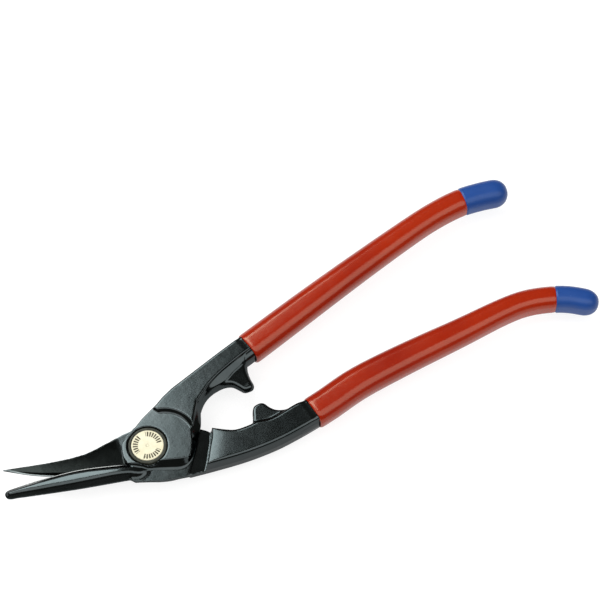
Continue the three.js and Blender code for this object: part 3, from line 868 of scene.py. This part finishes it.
def dark_bolt():
    """Blackened steel, dull and a little oily."""
    black, rubbed = [0.018, 0.019, 0.014, 1], [0.05, 0.052, 0.04, 1]
    s = Surface("blackened_bolt", IOR=1.5, Specular_IOR_Level=0.15)
    s.colour(s.blend(s.spread(s.noise(400, 4, 0.6), 0.3, 0.7), black, rubbed))
    s.roughness(s.blend(s.noise(300, 4, 0.6), 0.3, 0.5))
    s.bump(s.noise(1200, 3, 0.5), 0.00004, 0.4)
    return s.material


def zinc_plate():
    """Zinc plate: cool and satin, mottled by handling."""
    bright, dull = [0.55, 0.57, 0.60, 1], [0.36, 0.37, 0.38, 1]
    s = Surface("zinc_plate", Metallic=1.0)
    s.colour(s.blend(s.spread(s.noise(250, 4, 0.65), 0.3, 0.7), bright, dull))
    s.roughness(s.blend(s.noise(500, 4, 0.6), 0.26, 0.46))
    s.bump(s.noise(1600, 3, 0.5), 0.00003, 0.4)
    return s.material


# ---------------------------------------------------------------- the pieces

enamel = black_enamel()
red = dipped_vinyl("red_vinyl", base=[0.31, 0.0145, 0.001, 1], deep=[0.24, 0.008, 0.001, 1],
                   pale=[0.36, 0.055, 0.015, 1], gloss=0.14, shine=0.5, tint=(1, 0.88, 0.66, 1))
blue = dipped_vinyl("blue_vinyl", base=[0.012, 0.054, 0.23, 1], deep=[0.010, 0.044, 0.19, 1],
                    pale=[0.04, 0.10, 0.30, 1], gloss=0.30, shine=0.32, tint=(0.8, 0.92, 1, 1))

front, rear = "front", "rear"


def sharpness(piece):
    """How far the surface bends outwards at each vertex, from 0 to 1."""
    mesh = piece.data
    count = len(mesh.vertices)
    co = np.zeros(count * 3)
    mesh.vertices.foreach_get("co", co)
    co = co.reshape(-1, 3)
    normal = np.zeros(count * 3)
    mesh.vertices.foreach_get("normal", normal)
    normal = normal.reshape(-1, 3)
    ends = np.zeros(len(mesh.edges) * 2, int)
    mesh.edges.foreach_get("vertices", ends)
    gain, least = 4, 0.25
    a, b = ends.reshape(-1, 2).T
    lean = np.zeros(count)
    number = np.zeros(count)
    for one, two in ((a, b), (b, a)):
        reach = co[two] - co[one]
        size = np.maximum(np.linalg.norm(reach, axis=1), 1e-9)
        np.add.at(lean, one, -np.einsum("ij,ij->i", reach, normal[one]) / size)
        np.add.at(number, one, 1)
    return np.clip(lean / np.maximum(number, 1) * gain - least, 0, 1)


def lever(name, field, low, high, edge, body, node, up):
    """One forging, with the material's masks along its blade. up is whether the shear face is below."""
    piece, v = made(name, field, low, high, FINE, enamel, body, (node,))
    x, y, z = v.T
    land_width, land_fade = 1.0, 0.4
    to_edge = to_line(edge, x, y)
    land = np.clip((land_width - to_edge) / land_fade, 0, 1) * ease((-x - 12) / 4) * ease((x + 62) / 8)
    if up:
        bare = land * np.clip((z - 0.3) * 4, 0, 1) * 0.9
        shear_face = z < 0.4
    else:
        bare = land * np.clip((z + 0.6) * 4, 0, 1) * 0.06
        shear_face = z > -0.3 - 0.09 * np.clip(x + 61, 0, 60)
    paint(piece, "bare", bare)
    # painted shade: marks the ground shear face, which the enamel darkens
    paint(piece, "ground_face_shade", shear_face * ease((-x - 10) / 2) * ease(to_edge / 1.2) * ease((x + 72) / 14))
    paint(piece, "edge", sharpness(piece))


lever("front_forging", front_forging, (-67, -22, -6.8), (74, 36, 6.8), F_EDGE, front, "front_lever", True)
lever("rear_forging", rear_forging, (-63.5, -24.5, -6.8), (91, 19, 6.8), R_EDGE, rear, "rear_lever", False)

for side, line, widths, mouth, blue_share in (
        (front, F_LINE, F_WIDTHS, F_MOUTH, 0.88),
        (rear, R_LINE, R_WIDTHS, R_MOUTH, 0.895)):
    total = length_of(line)
    seam = blue_share * total
    grip_far, tang_far = 0.985 * total + 6.08, 0.955 * total + 4.5   # the grip's end, and the steel's in it
    for suffix, (vertices, faces), material, slot, node in (
            ("_sleeve", sleeve(line, widths, mouth, seam + 0.6), red, "grip_red", "_grip_sleeve"),
            ("_end", grip_end(line, widths, seam, grip_far), blue, "grip_blue", "_grip_end"),
            ("_tang", tang(line, widths, mouth + 8, tang_far), enamel, "enamel", "_lever")):
        build(side + suffix, vertices, faces, material, side, (side + node,), 60)

made("pivot_bolt_turned", bolt, (-9.2, -9.2, -13.6), (9.2, 9.2, 5.4), SMALL, dark_bolt(), front,
     ("pivot_bolt",))
vertices, faces, marks = disc_mesh()
disc = build("pivot_disc_inlay", vertices, faces, brass_inlay(), front, ("pivot_disc",), 50)
paint(disc, "marks", marks)
zinc = zinc_plate()
for name, field, reach, low, high, node in (
        ("flat_washer", flat_washer, 10.2, -6.9, -4.4, "pivot_washer"),
        ("split_washer", split_washer, 9.2, -8.5, -5.6, "pivot_spring_washer"),
        ("hex_nut", nut, 10.2, -13.2, -7.2, "pivot_nut")):
    made(name, field, (-reach, -reach, low), (reach, reach, high), SMALL, zinc, front, (node,))


# ---------------------------------------------------------------- floor, light and camera

def floor():
    """Pale paper that glows a little, like a light table."""
    mesh = bpy.data.meshes.new("floor")
    reach = 12.0
    mesh.from_pydata([(-reach, -reach, 0), (reach, -reach, 0), (reach, reach, 0), (-reach, reach, 0)], [],
                     [(0, 1, 2, 3)])
    plane = bpy.data.objects.new("floor", mesh)
    s = Surface("floor_paper", Roughness=0.9, Specular_IOR_Level=0.1, Emission_Color=(1, 1, 1, 1),
                Emission_Strength=0.78)
    s.colour(s.blend(s.noise(3, 2, 0.5), [0.29, 0.29, 0.29, 1], [0.32, 0.32, 0.32, 1]))
    mesh.materials.append(s.material)
    bpy.context.scene.collection.objects.link(plane)


# The camera's right, and the way it looks, along the floor
RIGHT = Vector((0.90631, -0.42262, 0))
AWAY = Vector((0.42262, 0.90631, 0))
UP = Vector((0, 0, 1))
CENTRE = Vector((0.07, 0.012, 0.013))     # what the lights point at
CAMERA_PLACE, CAMERA_TILT = (-0.08363, -0.33760, 0.82757), 27


def leaning(tilt):
    """Straight up, leaned towards the camera's side by a number of degrees."""
    angle = math.radians(tilt)
    return UP * math.cos(angle) - AWAY * math.sin(angle)


def softbox(name, tilt, distance, width, depth, power, shift, colour=(1, 1, 1)):
    """An area light, tilted from overhead towards the camera's side and facing back down.
    shift moves it to the camera's right."""
    light = bpy.data.lights.new(name, "AREA")
    light.shape, light.size, light.size_y = "RECTANGLE", width, depth
    light.energy, light.color = power, colour
    lamp = bpy.data.objects.new(name, light)
    bpy.context.scene.collection.objects.link(lamp)
    out = leaning(tilt)
    turn = Matrix((RIGHT, out.cross(RIGHT), out)).transposed().to_4x4()
    lamp.matrix_world = Matrix.Translation(CENTRE + out * distance + RIGHT * shift) @ turn


def camera():
    data = bpy.data.cameras.new("camera")
    data.lens, data.sensor_width = 120, 36
    eye = bpy.data.objects.new("camera", data)
    bpy.context.scene.collection.objects.link(eye)
    back, up = leaning(CAMERA_TILT), leaning(CAMERA_TILT - 90)
    turn = Matrix((RIGHT, up, back)).transposed().to_4x4()
    eye.matrix_world = Matrix.Translation(CAMERA_PLACE) @ turn
    bpy.context.scene.camera = eye


def world():
    sky = bpy.data.worlds.new("studio")
    sky.use_nodes = True
    background = sky.node_tree.nodes["Background"]
    background.inputs["Color"].default_value = (1, 0.97, 0.88, 1)
    background.inputs["Strength"].default_value = 0.12
    bpy.context.scene.world = sky
    bpy.context.scene.view_settings.view_transform = "Standard"


floor()
softbox("key", tilt=20, distance=1.25, width=3.0, depth=1.1, power=23.5, shift=0.4)
softbox("left", tilt=-27, distance=1.3, width=1.5, depth=0.7, power=25.5, shift=-0.89,
        colour=(0.95, 1.0, 1.0))
camera()
world()
